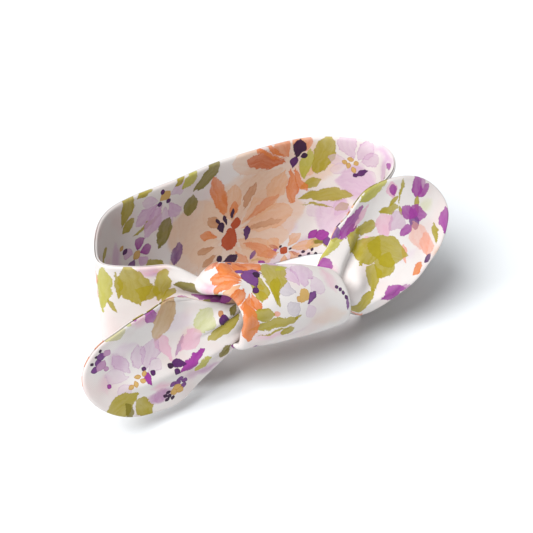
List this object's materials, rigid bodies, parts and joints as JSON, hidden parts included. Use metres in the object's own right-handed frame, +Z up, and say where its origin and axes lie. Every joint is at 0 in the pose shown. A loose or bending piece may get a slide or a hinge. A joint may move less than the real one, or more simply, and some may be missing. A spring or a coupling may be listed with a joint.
{
  "type": "knotted headband",
  "caption": "Baby's tie-knot headband: an oval ring of double-layer floral cloth standing on its long edge, with a knot at the front and leaf-shaped tails that swing.",
  "frame": {"origin": "on the surface that the band's lower edge stands on, under the middle of the whole headband", "axes": "+Z up, -Y is the front, where the knot is, +X is to the right as seen from the front"},
  "size_m": [0.2008, 0.0938, 0.0757],
  "materials": {
    "printed_face": "matt woven cotton, watercolour flowers on off-white",
    "printed_lining": "the same printed cotton, seen on the inside",
    "seam_allowance": "wrong side of the cotton, pressed flat"
  },
  "bodies": {
    "band": {"band_outer_layer": "printed_face", "band_inner_layer": "printed_lining", "band_top_seam": "seam_allowance", "band_bottom_seam": "seam_allowance", "knot_wrap": "printed_face", "knot_core": "printed_face"},
    "left_tail": {"left_tail_front_layer": "printed_face", "left_tail_back_layer": "printed_lining", "left_tail_seam": "seam_allowance"},
    "right_tail": {"right_tail_front_layer": "printed_face", "right_tail_back_layer": "printed_lining", "right_tail_seam": "seam_allowance"}
  },
  "joints": [
    {"name": "left_tail_swing", "type": "hinge", "parent": "band", "child": "left_tail", "pos_m": [-0.02612, -0.02929, 0.035], "axis": [0, 0, 1], "range_deg": [0, 80]},
    {"name": "right_tail_swing", "type": "hinge", "parent": "band", "child": "right_tail", "pos_m": [0.03038, -0.03929, 0.035], "axis": [0, 0, -1], "range_deg": [0, 80]}
  ]
}
